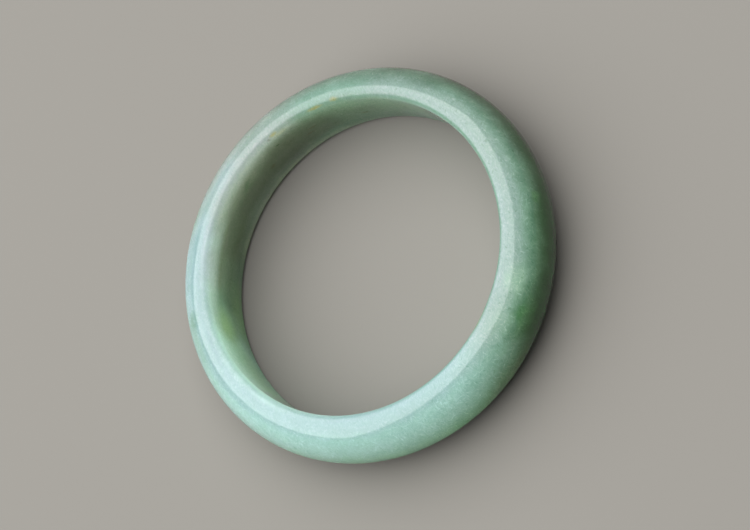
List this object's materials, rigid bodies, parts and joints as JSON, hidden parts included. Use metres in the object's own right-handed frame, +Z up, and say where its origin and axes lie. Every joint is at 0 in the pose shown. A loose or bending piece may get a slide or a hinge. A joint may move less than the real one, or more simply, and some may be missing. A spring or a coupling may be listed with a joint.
{
  "type": "bangle bracelet",
  "caption": "Closed bangle bracelet cut from solid jade: a polished ring with a straight inner wall, domed outside and rounded edges, slipped over the hand onto the wrist.",
  "frame": {"origin": "centre of the ring, on the surface that it lies flat on", "axes": "+Z up along the axis of the ring, X and Y across the ring"},
  "size_m": [0.0698, 0.0698, 0.0142],
  "materials": {
    "jade": "polished"
  },
  "bodies": {
    "root": {"jade_ring": "jade"}
  },
  "joints": []
}
